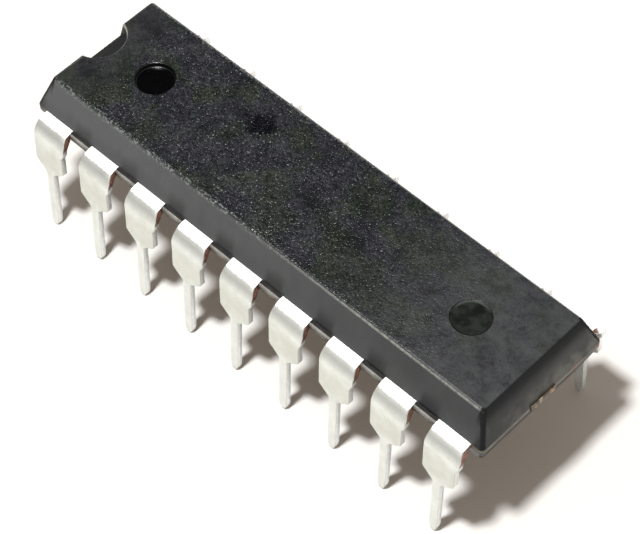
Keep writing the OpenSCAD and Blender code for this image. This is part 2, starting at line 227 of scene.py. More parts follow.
class Resin(Graph):
    """The black moulding resin. Each stretch of the body that looks different has a mask, 0 to 1."""

    def __init__(self):
        super().__init__("resin", (0.04, 0.042, 0.044))
        self.find_stretches()
        self.make_patterns()

    def find_stretches(self):
        """Masks for the faces of the body, from where they lie."""
        self.side = self.math("ABSOLUTE", self.y)
        self.top = self.step(self.z, BODY_TOP - 0.035, BODY_TOP - 0.008)
        below = self.sub(1.0, self.top)
        self.flank = self.mul(self.step(self.side, TOP_SIDE - 0.04, TOP_SIDE + 0.04), below)
        notch = self.mul(self.step(self.x, NOTCH_START, NOTCH_START - 0.05),
                         self.step(self.side, NOTCH_R + 0.04, NOTCH_R))
        self.notch = self.mul(notch, below)
        along = self.math("ABSOLUTE", self.x)
        self.end = self.mul(self.step(along, TOP_END - 0.03, TOP_END + 0.03), below,
                            self.sub(1.0, self.notch))
        self.broken = self.step(self.side, BODY_SIDE + 0.01, BODY_SIDE + 0.03)
        self.from_mark = self.near(MARK_X, 0)
        self.pin_mark = self.mul(self.step(self.from_mark, MARK_R, MARK_R - 0.04),
                                 self.step(self.z, BODY_TOP - 0.22, BODY_TOP - 0.12))
        # How far the drafted side and end faces lie from the middle, as measured at their foot
        above = self.math("MAXIMUM", self.sub(self.z, FRAME_TOP), 0.0)
        self.side_foot = self.add(self.side, self.mul(above, math.tan(SIDE_DRAFT)))
        self.end_foot = self.add(along, self.mul(above, math.tan(END_DRAFT)))

    def make_patterns(self):
        """Noise that more than one part of the look shares."""
        self.coarse = self.noise(3.2, 3, 0.6)
        self.fine = self.noise(8.5, 2, 0.62)
        self.grit = self.noise(16.0, 1, 0.5)
        self.crumbs = self.noise(7.0, 3, 0.6)
        self.cloud = self.noise(0.9, 3, 0.6, offset=(8.0, 2.0, 5.0))
        # The mould's grain is strong over the middle of the top and dies away towards the ends
        wander = self.noise(0.8, 2, 0.5, offset=(2.0, 9.0, 1.0))
        self.place = self.add(self.x, self.spread(wander, 4.0))
        grainy = self.mul(self.step(self.place, 9.4, 6.6), self.step(self.place, -11.4, -8.4))
        self.grainy = self.mul(grainy, self.top, self.sub(1.0, self.mul(self.pin_mark, 0.8)))

    def dark_and_grain(self):
        """Dark, with clouds that lean to green or to blue; on the top a pale grain mottle, partly the
        grain's own tone and partly painted glint, and bright painted glints where the grain would catch the
        light.
        """
        blue = self.step(self.noise(0.62, 3, 0.55, offset=(3.1, 7.7, 0.4)), 0.40, 0.58)
        dark = self.mix(blue, RESIN["green_black"], RESIN["blue_black"])
        dark = self.mix(self.mul(self.step(self.cloud, 0.50, 0.68), 0.7), dark, RESIN["cloud"])
        pale = self.mix(blue, RESIN["pale_green"], RESIN["pale_blue"])
        grain = self.add(self.mul(self.fine, 0.6), self.mul(self.grit, 0.4))
        # A pale grain mottle on the top, partly the grain's own tone and partly painted glint
        pale_grain_and_glint = self.mul(self.step(grain, 0.41, 0.62), self.top, self.ramp(self.grainy, 0, 1, 0.8, 1.0))
        color = self.mix(self.mul(pale_grain_and_glint, self.ramp(self.cloud, 0.35, 0.62, 0.25, 0.8)), dark, pale)
        # Painted glints: bright specks on the grainy top, fewer towards the far end
        points = self.noise(12.5, 0, 0.5, offset=(1.7, 4.4, 6.1))
        painted_glints = self.mul(self.step(points, 0.76, 0.82), self.grainy)
        painted_glints = self.mul(painted_glints, self.ramp(self.place, 0.5, 5.0, 1.0, 0.15), 0.8)
        color = self.mix(painted_glints, color, RESIN["painted_glint"])
        blotch = self.mul(self.step(self.cloud, 0.44, 0.32), self.top)
        return self.mix(self.mul(blotch, 0.8), color, RESIN["blotch"])

    def ejector_mark(self, color):
        """The mark is cloudy, with a painted highlight, a lighter crescent where its rim faces the light,
        and a crescent of painted shade on the opposite side of its rim.
        """
        cloudy = self.step(self.noise(2.4, 4, 0.65, offset=(4.0, 1.0, 1.0)), 0.36, 0.62)
        color = self.mix(self.pin_mark, color, self.mix(cloudy, RESIN["mark_dark"], RESIN["mark_pale"]))
        across = self.sub(self.mul(self.y, 0.8), self.mul(self.sub(self.x, MARK_X), 0.6))
        rim = self.mul(self.step(self.from_mark, MARK_R - 0.14, MARK_R - 0.07), self.pin_mark)
        # A painted highlight on the rim where it faces the light, and painted shade on the opposite side of
        # the rim
        color = self.mix(self.mul(rim, self.step(across, 0.30, 0.62)), color, RESIN["mark_lit_rim"])
        return self.mix(self.mul(rim, self.step(across, -0.10, -0.50)), color, RESIN["mark_rim_painted_shade"])

    def grey_top_ends(self, color):
        """Greyer ends of the top: a little beside the notch, smoother and more so at the other end."""
        notch_end = self.mul(self.step(self.x, -8.6, -10.0), self.top)
        amount = self.mul(notch_end, self.ramp(self.cloud, 0.35, 0.65, 0.15, 0.45))
        color = self.mix(amount, color, RESIN["notch_haze"])
        self.bare_end = self.mul(self.step(self.x, 2.2, 9.2), self.top, self.sub(1.0, self.pin_mark))
        haze = self.noise(1.8, 6, 0.74, offset=(1.0, 6.0, 3.0))
        amount = self.mul(self.bare_end, self.ramp(haze, 0.36, 0.66, 0.12, 0.95))
        return self.mix(amount, color, RESIN["bare_haze"])

    def sides_dust_and_painted_light(self, color):
        """The long sides are smooth and grey, more so towards the notch, high up and over the leads: partly
        dust and partly painted light, with painted shade low down beside the gaps between the leads.
        """
        reach = 3 * PITCH - 0.02
        beside_gap = self.step(self.math("PINGPONG", self.x, PITCH / 2), HALF_SHOULDER - 0.02,
                               HALF_SHOULDER + 0.22)
        # Partly dust, partly painted light: more of the grey high up than low down
        high = self.ramp(self.x, -reach, reach, 1.10, 0.34)
        low = self.ramp(self.x, -reach, reach, 0.72, 0.44)
        # Painted shade low down beside the gaps between the leads
        shadow = self.mul(beside_gap, self.ramp(self.x, -reach, reach, 0.45, 0.95))
        low = self.mul(low, self.sub(1.0, shadow))
        up = self.step(self.z, 5.85, 6.5)
        dust_and_painted_light = self.add(self.mul(high, up), self.mul(low, self.sub(1.0, up)))
        smear = self.noise(1.0, 3, 0.6, vector=self.stretch(1.4, 1.4, 0.5))
        dust_and_painted_light = self.mul(dust_and_painted_light, self.ramp(smear, 0.3, 0.7, 0.85, 1.15))
        return self.mix(self.mul(self.flank, dust_and_painted_light), color, RESIN["side"])

    def smeared_ends(self, color):
        """Pale smears low on the ends, and a cream line where the two halves of the mould met there."""
        patches = self.step(self.noise(1.5, 3, 0.6, offset=(0, 4.0, 2.0)), 0.34, 0.62)
        smudge = self.mul(patches, self.step(self.z, 6.5, 5.9), self.step(self.y, -2.5, -1.6))
        smudge = self.mul(smudge, self.step(self.z, 5.35, 5.65), self.ramp(self.y, -2.0, 1.0, 0.5, 1.0))
        color = self.mix(self.mul(self.end, smudge, 0.9), color, RESIN["smudge"])
        seam = self.mul(self.step(self.z, FRAME_TOP - 0.20, FRAME_TOP - 0.16),
                        self.step(self.z, FRAME_TOP, FRAME_TOP - 0.04))
        seam = self.mul(seam, self.step(self.noise(2.2, 3, 0.6), 0.28, 0.60))
        flash = self.step(self.noise(1.7, 3, 0.6, offset=(2.0, 5.0, 2.0)), 0.52, 0.60)
        flash = self.mul(flash, self.step(self.y, -1.6, -0.8))
        seam_color = self.mix(flash, RESIN["seam"], RESIN["seam_copper"])
        return self.mix(self.mul(seam, self.end, 0.8), color, seam_color)

    def edge_highlight_and_flecks(self, color):
        """The long upper edges: a painted highlight line towards one end, broken flecks towards the notch.
        """
        edge = self.mul(self.step(self.side, TOP_SIDE - 0.035, TOP_SIDE),
                        self.step(self.side, TOP_SIDE + 0.06, TOP_SIDE + 0.03))
        edge = self.mul(edge, self.step(self.z, BODY_TOP - 0.17, BODY_TOP - 0.12))
        line_breaks = self.noise(4.5, 3, 0.7, vector=self.stretch(1.0, 0.6, 0.6))
        # A painted highlight line along the rounded upper edges, towards one end
        line = self.mul(edge, self.step(self.x, -3.0, 6.0), self.ramp(line_breaks, 0.3, 0.6, 0.35, 1.0))
        color = self.mix(self.mul(line, 0.9), color, RESIN["painted_edge_highlight"])
        fleck_band = self.mul(self.step(self.side, TOP_SIDE - 0.16, TOP_SIDE - 0.04),
                           self.step(self.side, TOP_SIDE + 0.10, TOP_SIDE + 0.04))
        fleck_band = self.mul(fleck_band, self.step(self.z, BODY_TOP - 0.22, BODY_TOP - 0.14),
                           self.step(self.x, 4.0, -2.0))
        flecks = self.step(self.noise(9.0, 2, 0.6, offset=(6.0, 3.0, 9.0)), 0.50, 0.62)
        return self.mix(self.mul(fleck_band, flecks, 0.85), color, RESIN["edge_fleck"])

    def dark_spot(self, color):
        """A soft dark spot in the moulding."""
        ragged = self.add(self.near(-3.45, 1.12), self.spread(self.coarse, 0.9))
        self.spot = self.mul(self.step(ragged, 0.80, 0.30), self.top)
        return self.mix(self.mul(self.spot, 0.95), color, RESIN["spot"])

    def broken_ledges(self, color):
        """Broken resin between the leads: dark above, paler below, with painted light at its foot."""
        ragged = self.add(self.z, self.spread(self.crumbs, 0.03))
        under = self.mul(self.step(ragged, FRAME_TOP - 0.012, FRAME_TOP - 0.035),
                         self.step(ragged, FRAME_TOP - 0.26, FRAME_TOP - 0.23))
        light = self.mix(self.step(self.crumbs, 0.30, 0.70), RESIN["ledge_dull"], RESIN["ledge_pale"])
        # Painted light at the foot of the pale broken face
        foot = self.step(self.z, FRAME_TOP - 0.09, FRAME_TOP - 0.21)
        light = self.mix(foot, light, RESIN["ledge_foot_painted_light"])
        color = self.mix(self.broken, color, RESIN["ledge_top"])
        return self.mix(self.mul(self.broken, under), color, light)

    def painted_shade_corners(self, color):
        """Painted shade on the end's upper part and its corners; the notch is dark too, but for a painted
        highlight on its rim.
        """
        uneven = self.spread(self.noise(2.6, 3, 0.6, offset=(9.0, 2.0, 4.0)), 0.16)
        # Painted shade darkening the end's upper part towards its top edge
        self.painted_shade_fillet = self.mul(self.end, self.step(self.add(self.z, uneven), 6.30, 7.00))
        # Painted shade on the upright corners of the ends
        corner = self.mul(
            self.step(self.add(self.side_foot, uneven), BODY_SIDE - 0.20, BODY_SIDE - 0.08),
            self.step(self.add(self.end_foot, uneven), BODY_END - 0.20, BODY_END - 0.08))
        self.corner = self.mul(corner, self.step(self.z, 5.60, 5.70))
        shade = self.math("MAXIMUM", self.painted_shade_fillet, self.corner)
        color = self.mix(self.mul(shade, 0.93), color, RESIN["corner"])
        color = self.mix(self.mul(self.notch, 0.75), color, RESIN["notch"])
        # A painted highlight on the notch's far rim, where its wall faces the lamp
        crescent = self.mul(self.notch, self.step(self.z, BODY_TOP - 0.26, BODY_TOP - 0.14),
                            self.step(self.y, 0.62, 0.86))
        return self.mix(crescent, color, RESIN["notch_rim_painted_highlight"])

    def roughness(self):
        rough = self.ramp(self.grainy, 0, 1, 0.36, 0.33)
        for mask, more in ((self.bare_end, 0.10), (self.pin_mark, -0.06), (self.spot, -0.12),
                           (self.painted_shade_fillet, 0.5), (self.corner, 0.6), (self.broken, 0.3), (self.notch, 0.22)):
            rough = self.add(rough, self.mul(mask, more))
        return rough

    def relief(self):
        """Grain on the top, less of it elsewhere, and crumbs on the broken ledges."""
        grain = self.add(self.mul(self.grit, 0.5), self.mul(self.coarse, 0.3))
        grain = self.add(self.mul(self.fine, 0.9), grain)
        grain = self.mul(grain, self.ramp(self.place, 0.0, 5.5, 1.0, 0.78))
        share = self.add(self.ramp(self.grainy, 0, 1, 0.10, 1.0), self.mul(self.top, 0.22))
        height = self.add(self.mul(grain, share), self.mul(self.crumbs, self.broken, 0.8))
        return self.bump(height, 0.032)

    def build(self):
        color = self.dark_and_grain()
        for layer in (self.ejector_mark, self.grey_top_ends, self.sides_dust_and_painted_light, self.smeared_ends,
                      self.edge_highlight_and_flecks, self.dark_spot, self.broken_ledges, self.painted_shade_corners):
            color = layer(color)
        return self.finish(color, self.roughness(), self.relief(), level=0.34)


def gloss_material():
    """The polished recess: its floor mirrors, its wall and rim are a little duller."""
    g = Graph("resin_gloss", (0.01, 0.01, 0.01))
    film = g.noise(2.2, 3, 0.5)
    dust = g.step(g.noise(14.0, 1, 0.5), 0.74, 0.80)
    wall = g.step(g.z, RECESS_FLOOR, RECESS_FLOOR + 0.008)
    color = g.mix(g.mul(dust, 0.5), (0.0006, 0.0006, 0.0008), (0.03, 0.03, 0.03))
    rough = g.add(g.ramp(film, 0.3, 0.7, 0.10, 0.15), g.mul(wall, 0.20))
    return g.finish(color, rough, g.bump(g.noise(5.0, 2, 0.5), 0.001), level=0.36)


def tin_material():
    """Matt tin plate: cream grey, clouded, with fine rolling lines and small stains."""
    g = Graph("tin_plate", (0.72, 0.72, 0.67))
    dull = (0.62, 0.635, 0.585)
    clean = (0.73, 0.75, 0.715)
    yellowed = (0.68, 0.67, 0.58)
    low_shoulder = (0.57, 0.575, 0.51)
    leg = (0.78, 0.80, 0.775)
    stained = (0.30, 0.27, 0.21)
    bend_shade = (0.33, 0.335, 0.315)
    # Near white: partly a frosted finish and partly a painted highlight on the shoulders
    burnished = (0.95, 0.95, 0.94)

    cloud = g.noise(1.9, 4, 0.62)
    patch = g.noise(0.9, 2, 0.5, offset=(5.0, 1.0, 8.0))
    frost = g.noise(13.0, 3, 0.65)
    lines = g.noise(5.0, 3, 0.6, vector=g.stretch(4.0, 0.6, 0.6))
    color = g.mix(g.step(cloud, 0.3, 0.7), dull, clean)
    color = g.mix(g.mul(g.step(patch, 0.5, 0.75), 0.3), color, yellowed)
    low = g.mul(g.step(g.z, 4.9, 4.4), g.step(g.z, 3.3, 3.7))
    color = g.mix(g.mul(low, 0.5), color, low_shoulder)
    color = g.mix(g.mul(g.step(g.z, 3.4, 2.8), 0.4), color, leg)
    stain = g.mul(g.step(frost, 0.64, 0.78), g.step(cloud, 0.52, 0.36))
    color = g.mix(g.mul(stain, 0.45), color, stained)
    # The near row, at -Y, is darker round the lower part of its bend
    ragged = g.add(g.z, g.spread(lines, 0.10))
    bent = g.mul(g.ramp(ragged, 5.02, 5.42, 0.0, 1.0), g.step(g.y, 0.5, -0.5))
    color = g.mix(g.mul(bent, 0.95), color, bend_shade)
    # Both rows are brighter above a ragged edge, which lies lower on the far row: partly a frosted finish
    # near the body and partly a painted highlight that blows the shoulders out to white
    limit = g.ramp(g.y, -1.0, 1.0, FRAME_TOP - 0.104, 3.80)
    bright = g.step(g.sub(ragged, limit), -0.02, 0.02)
    color = g.mix(g.mul(bright, 0.92), color, burnished)
    rough = g.add(g.ramp(cloud, 0.3, 0.7, 0.60, 0.52), g.spread(frost, 0.2))
    height = g.add(g.mul(frost, 0.6), g.add(g.mul(cloud, 1.2), g.mul(lines, 0.3)))
    return g.finish(color, rough, g.bump(height, 0.012), metal=0.6)


def cut_material(name, light, dark, rough_at):
    """A sheared edge of a lead: tinned over most of its length, and bare copper beside the body."""
    g = Graph(name, light)
    painted_highlight_tin = (0.97, 0.97, 0.96)
    dull_copper = (0.11, 0.050, 0.032)
    copper = (0.27, 0.105, 0.062)

    streak = g.noise(5.0, 3, 0.6, vector=g.stretch(1.0, 4.0, 0.8))
    grain = g.noise(11.0, 2, 0.6)
    tin = g.mix(g.step(streak, 0.3, 0.7), dark, light)
    # On the far row the copper keeps close to the body, and the tin is painted brighter there: a painted
    # highlight that lets those cut edges blow out to white
    bare = g.step(g.add(g.z, g.spread(grain, 0.35)), FRAME_TOP - 0.70, FRAME_TOP - 0.50)
    bare = g.mul(bare, g.step(g.y, BODY_SIDE + 0.42, BODY_SIDE + 0.30))
    tin = g.mix(g.mul(g.step(g.y, 3.25, 3.45), g.step(g.z, 3.8, 4.3)), tin, painted_highlight_tin)
    color = g.mix(g.mul(bare, 0.96), tin, g.mix(g.step(grain, 0.35, 0.65), dull_copper, copper))
    rough = g.add(g.spread(grain, 0.3), rough_at)
    height = g.add(streak, g.mul(grain, 0.5))
    return g.finish(color, rough, g.bump(height, 0.014), metal=0.7)


def copper_material():
    """Cut ends of the tie bars: copper smeared with resin and tin."""
    g = Graph("copper_cut", (0.7, 0.45, 0.32))
    copper = (0.46, 0.17, 0.08)
    tinned = (0.34, 0.28, 0.19)
    smeared = (0.060, 0.052, 0.040)

    cloud = g.noise(2.6, 3, 0.6)
    grain = g.noise(14.0, 3, 0.6)
    smear = g.step(g.noise(3.6, 3, 0.6, offset=(1.0, 3.0, 2.0)), 0.40, 0.52)
    color = g.mix(g.step(cloud, 0.34, 0.46), copper, tinned)
    color = g.mix(g.mul(smear, 0.85), color, smeared)
    rough = g.ramp(grain, 0.3, 0.7, 0.32, 0.55)
    return g.finish(color, rough, g.bump(grain, 0.02), metal=0.8)


def simple_material(name, low, high, scale, rough, metal, depth):
    """Clouds between two colours, with a fine grain."""
    g = Graph(name, high)
    cloud = g.noise(scale, 3, 0.6)
    grain = g.noise(scale * 6, 2, 0.6)
    color = g.mix(g.step(cloud, 0.3, 0.7), low, high)
    return g.finish(color, g.add(g.spread(grain, 0.2), rough), g.bump(grain, depth), metal=metal)


MATS = {
    "resin": Resin().build(),
    "gloss": gloss_material(),
    "tin": tin_material(),
    "burnished": cut_material("cut_burnished", light=(0.93, 0.95, 0.95),
                              dark=(0.78, 0.79, 0.78), rough_at=0.40),
    "fractured": cut_material("cut_fractured", light=(0.84, 0.86, 0.86),
                              dark=(0.66, 0.67, 0.66), rough_at=0.55),
    "copper": copper_material(),
    "silicon": simple_material("silicon", low=(0.10, 0.11, 0.14), high=(0.17, 0.19, 0.24),
                               scale=3.0, rough=0.2, metal=0.3, depth=0.001),
    "adhesive": simple_material("silver_adhesive", low=(0.38, 0.38, 0.37), high=(0.58, 0.58, 0.56),
                                scale=6.0, rough=0.5, metal=0.6, depth=0.004),
    "gold": simple_material("gold_wire", low=(0.80, 0.55, 0.18), high=(0.95, 0.72, 0.30),
                            scale=20.0, rough=0.22, metal=1.0, depth=0.001),
}


# Pieces that ride on the frame

def add_object(name, mesh, node):
    """A piece of the dressed part that rides on the body root and stands in for a CAD node."""
    ob = bpy.data.objects.new(name, mesh)
    bpy.context.scene.collection.objects.link(ob)
    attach(ob, "root")
    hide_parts(node)
    return ob


def weighted_normals(ob, weight):
    m = ob.modifiers.new("even_shading", "WEIGHTED_NORMAL")
    m.mode = "FACE_AREA_WITH_ANGLE"
    m.weight = weight
    m.keep_sharp = True


# The body

# Flat triangles that meet within the first angle are joined, edges over the second stay sharp
FLAT_ANGLE = math.radians(0.3)
BODY_SHARP = math.radians(50)
LEAD_SHARP = math.radians(40)
# The polished faces lie within this radius of the recess's middle, between this height and the top
GLOSS_R = 0.83
GLOSS_LOW = 6.85


def make_body():
    """The moulding: the CAD surface, joined up and shaded smooth over its rounded edges."""
    mesh = NODES["package_body"].data.copy()
    mesh.name = "moulded_body"
    bm = bmesh.new()
    bm.from_mesh(mesh)
    bmesh.ops.remove_doubles(bm, verts=bm.verts, dist=2e-7)
    bmesh.ops.dissolve_limit(bm, angle_limit=FLAT_ANGLE, verts=bm.verts, edges=bm.edges)
    for f in bm.faces:
        c = f.calc_center_median() / MM
        in_ring = math.hypot(c.x + MARK_X, c.y) < GLOSS_R
        f.material_index = 1 if in_ring and GLOSS_LOW < c.z < BODY_TOP - 0.003 else 0
        f.smooth = True
    mesh.materials.clear()
    mesh.materials.append(MATS["resin"])
    mesh.materials.append(MATS["gloss"])
    bm.to_mesh(mesh)
    bm.free()
    mesh.set_sharp_from_angle(angle=BODY_SHARP)
    ob = add_object("moulded_body", mesh, "package_body")
    weighted_normals(ob, 60)


# The leads

def round_corner(before, corner, after, radius, steps=6):
    """Points on the arc that rounds the corner between two straight lines."""
    to_b = (before - corner).normalized()
    to_a = (after - corner).normalized()
    half = math.acos(max(-1, min(1, to_b.dot(to_a)))) / 2
    centre = corner + (to_b + to_a).normalized() * radius / math.sin(half)
    first = corner + to_b * radius / math.tan(half) - centre
    last = corner + to_a * radius / math.tan(half) - centre
    return [centre + (first * (1 - i / steps) + last * i / steps).normalized() * radius
            for i in range(steps + 1)]


# The tip curves in like a bullet. These are the solid's points with others between them, as half
# width and share of the tip's height, and the strip ends just above the height of the tips
TIP_FLAT = 0.012
TIP_CURVE = ((HALF_LEG, 1.0), (HALF_LEG - 0.0126, 0.76), (HALF_LEG - 0.036, 0.5), (HALF_TIP + 0.045, 0.17))


def lead_side_line():
    """(half width, drop) down one plain side of a lead, drop measured from the frame's upper face."""
    a = Vector((HALF_SHOULDER, 0))
    b = Vector((HALF_SHOULDER, SHOULDER_DROP))
    c = Vector((HALF_LEG, SHOULDER_DROP + TAPER))
    d = Vector((HALF_LEG, FRAME_TOP - TIP_H))
    line = [a] + round_corner(a, b, c, SHOULDER_ROUND) + round_corner(b, c, d, LEG_ROUND)
    line += [Vector((half, FRAME_TOP - TIP_H * share)) for half, share in TIP_CURVE]
    line.append(Vector((HALF_TIP, FRAME_TOP - TIP_FLAT)))
    return line


SIDE_LINE = lead_side_line()


def half_width(drop):
    """Half the width of a plain lead at that drop."""
    if drop <= SIDE_LINE[0].y:
        return SIDE_LINE[0].x
    for p, q in zip(SIDE_LINE, SIDE_LINE[1:]):
        if p.y <= drop <= q.y and q.y > p.y:
            return p.x + (q.x - p.x) * (drop - p.y) / (q.y - p.y)
    return SIDE_LINE[-1].x


def stub(y, drop):
    """How far the dam bar's stub stands out at that distance from the middle and that drop."""
    a = STUB_DROP
    b = STUB_DROP + STUB_H
    if drop <= a or drop >= b or y < BODY_SIDE + LEDGE_OUT - 0.001:
        return 0.0
    return max(0.0, min(STUB_OUT, (drop - a) / 2, (b - drop) / 2))


BEND_ANGLE = math.pi / 2 - SPLAY
BEND_LENGTH = BEND_R * BEND_ANGLE
BEND_DROP = BEND_R * (1 - math.cos(BEND_ANGLE))


def run_at(drop):
    """Distance along the outer face from the start of the bend."""
    if drop < BEND_DROP:
        return BEND_R * math.acos(1 - drop / BEND_R)
    return BEND_LENGTH + (drop - BEND_DROP) / math.sin(BEND_ANGLE)


def drop_at(run):
    """Drop of the outer face at that distance along it."""
    if run <= 0:
        return 0.0
    if run < BEND_LENGTH:
        return BEND_R * (1 - math.cos(run / BEND_R))
    return BEND_DROP + (run - BEND_LENGTH) * math.sin(BEND_ANGLE)


def bent(run, depth):
    """(y, z) of a point at that run and that depth under the outer face."""
    if run <= 0:
        return BEND_START + run, FRAME_TOP - depth
    a = min(run / BEND_R, BEND_ANGLE)
    y = BEND_START + (BEND_R - depth) * math.sin(a)
    z = FRAME_TOP - BEND_R + (BEND_R - depth) * math.cos(a)
    rest = max(0.0, run - BEND_LENGTH)
    return y + rest * math.cos(BEND_ANGLE), z - rest * math.sin(BEND_ANGLE)


# A lead's sheared edge: its rounded corner, its burr, and where down the thickness its bands meet
ROLLOVER = 0.035
BURR = 0.018
SHEARED = 0.55
FACE_COLUMNS = 6
BEND_STEPS = 18
STRAIGHT_STEPS = 8
LEG_STEPS = 12
# Small sideways leans of the legs, in mm per mm, and how far off the shoulder's middle the legs are
LEANS = (-0.006, -0.012, -0.020, -0.018, -0.010, -0.024, -0.008, -0.010, -0.014)
LEG_SHIFT = 0.03
# Small waves in a lead's width: height in mm, turn per mm, turn from lead to lead
WAVES = ((0.004, 3.1, 1.7), (0.003, 7.3, 2.9))
WAVE_LEFT = 0.6
WAVE_RIGHT = 0.4
WAVE_START = 0.2
# The share of the strip's thickness that is left at its very tip
TIP_THIN = 0.7


def section(left, right):
    """Ring of (u, depth, kind) round a lead: kind 0 is a broad face, 1 and 2 the two bands of a cut edge."""
    a = min(ROLLOVER, (left + right) * 0.3)
    b = BURR
    ring = []
    for i in range(FACE_COLUMNS + 1):
        ring.append((-left + a + (left + right - 2 * a) * i / FACE_COLUMNS, 0.0, 0))
    for i in (1, 2):
        t = math.radians(30 * i)
        ring.append((right - a + a * math.sin(t), a - a * math.cos(t), 0))
    ring.append((right, a, 1))
    ring.append((right, STRIP * SHEARED, 2))
    ring.append((right, STRIP - b, 0))
    ring.append((right - b * 0.3, STRIP - b * 0.3, 0))
    for i in range(FACE_COLUMNS + 1):
        ring.append((right - b - (left + right - 2 * b) * i / FACE_COLUMNS, STRIP, 0))
    ring.append((-left + b * 0.3, STRIP - b * 0.3, 0))
    ring.append((-left, STRIP - b, 2))
    ring.append((-left, STRIP * SHEARED, 1))
    ring.append((-left, a, 0))
    for i in (2, 1):
        t = math.radians(30 * i)
        ring.append((-left + a - a * math.sin(t), a - a * math.cos(t), 0))
    return ring


def lead_runs():
    """Where along a lead its rings lie: at each change of outline, and evenly between."""
    runs = [ANCHOR_END - BEND_START, BODY_SIDE - BEND_START, 0.0]
    runs += [BEND_LENGTH * i / BEND_STEPS for i in range(1, BEND_STEPS + 1)]
    drops = [p.y for p in SIDE_LINE]
    edge = 0.004
    for d in (STUB_DROP, STUB_DROP + 2 * STUB_OUT, STUB_DROP + STUB_H - 2 * STUB_OUT, STUB_DROP + STUB_H):
        drops += [d - edge, d + edge]
    for low, high, n in ((BEND_DROP, SHOULDER_DROP, STRAIGHT_STEPS),
                         (SHOULDER_DROP + TAPER, FRAME_TOP - TIP_H, LEG_STEPS)):
        drops += [low + (high - low) * i / n for i in range(n + 1)]
    least_drop = 0.01
    runs += [run_at(d) for d in drops if d > least_drop]
    runs.sort()
    # Rings that all but coincide would leave slivers
    least_gap = 0.003
    kept = [runs[0]]
    for r in runs[1:]:
        if r - kept[-1] > least_gap:
            kept.append(r)
    return kept


RUNS = lead_runs()


def lead_ring(bm, number, x0, side, run):
    """The vertices of one ring of a lead. Each lead was sheared and bent a little differently."""
    drop = drop_at(run)
    w = half_width(drop)
    wave = 0.0
    if drop > WAVE_START:
        wave = sum(height * math.sin(run * turn + number * shift) for height, turn, shift in WAVES)
    left = w + wave * WAVE_LEFT
    right = w - wave * WAVE_RIGHT
    lean = LEANS[number % len(LEANS)] * max(0.0, drop - SHOULDER_DROP - TAPER)
    lean -= LEG_SHIFT * min(1.0, max(0.0, (drop - SHOULDER_DROP) / TAPER))
    ring = []
    for u, depth, _ in section(left, right):
        if run == RUNS[-1]:
            depth = STRIP / 2 + (depth - STRIP / 2) * TIP_THIN
        y, z = bent(run, depth)
        out = stub(y, FRAME_TOP - z) if u > right - 0.05 else 0.0
        ring.append(bm.verts.new((x0 + u + out + lean, side * y, max(z, 0.0))))
    return ring


def add_strip(bm, number, x0, side):
    """The outer strip of a lead: the bend, the shoulder with its stub and the leg."""
    rings = [lead_ring(bm, number, x0, side, run) for run in RUNS]
    kinds = [kind for _, _, kind in section(HALF_SHOULDER, HALF_SHOULDER)]
    count = len(kinds)
    for r0, r1 in zip(rings, rings[1:]):
        for i in range(count):
            j = (i + 1) % count
            quad = (r0[i], r0[j], r1[j], r1[i])
            f = bm.faces.new(quad if side > 0 else quad[::-1])
            f.material_index = kinds[i]
    bm.faces.new(rings[0][::-1] if side > 0 else rings[0])
    bm.faces.new(rings[-1] if side > 0 else rings[-1][::-1])


# The fingers' tips: those of the middle three leads end in a row of their own, the rest beside the
# paddle, at this distance from its middle and one step apart
FINGER_STEP = 0.5
SIDE_TIP_X = 2.25
MIDDLE_SPREAD = 1.3
MIDDLE_TURN = 2.0
MIDDLE_TIP_Y = 1.75
TURN_IN = 0.1


def finger_outline(index):
    """Outline of a finger for the row at +Y, from the left of its root round its tip to the right."""
    x0 = index * PITCH
    turn = ROOT_END - TURN_IN
    if abs(index) > 1:
        line = (ROW // 2 + 1 - abs(index)) * FINGER_STEP
        s = 1 if index > 0 else -1
        path = [(x0, ROOT_END), (x0, turn), (s * (abs(x0) - (turn - line)), line), (s * SIDE_TIP_X, line)]
    else:
        x = index * MIDDLE_SPREAD
        path = [(x0, ROOT_END), (x0, turn), (x, MIDDLE_TURN), (x, MIDDLE_TIP_Y)]
    pts = [Vector(p) for p in path]
    one = []
    two = []
    for i, p in enumerate(pts):
        before = (pts[i] - pts[i - 1]).normalized() if i else (pts[1] - pts[0]).normalized()
        after = (pts[i + 1] - pts[i]).normalized() if i < len(pts) - 1 else before
        nb = Vector((-before.y, before.x))
        na = Vector((-after.y, after.x))
        mid = (nb + na).normalized()
        reach = FINGER / 2 / mid.dot(nb)
        one.append(p + mid * reach)
        two.append(p - mid * reach)
    return [tuple(p) for p in two] + [tuple(p) for p in reversed(one)]


def add_finger(bm, index, x0, side):
    """The flat finger of a lead inside the body, with the two notches that lock it there."""
    left = x0 - HALF_SHOULDER
    right = x0 + HALF_SHOULDER
    outline = [(left, ROOT_END), *finger_outline(index), (right, ROOT_END), (right, ANCHOR_START),
               (right - ANCHOR_IN, ANCHOR_START), (right - ANCHOR_IN, ANCHOR_END),
               (left + ANCHOR_IN, ANCHOR_END), (left + ANCHOR_IN, ANCHOR_START), (left, ANCHOR_START)]
    low = [bm.verts.new((x, side * y, FRAME_TOP - STRIP)) for x, y in outline]
    high = [bm.verts.new((x, side * y, FRAME_TOP)) for x, y in outline]
    n = len(outline)
    bm.faces.new(low[::-1])
    bm.faces.new(high)
    for i in range(n):
        j = (i + 1) % n
        bm.faces.new((low[i], low[j], high[j], high[i])).material_index = 1


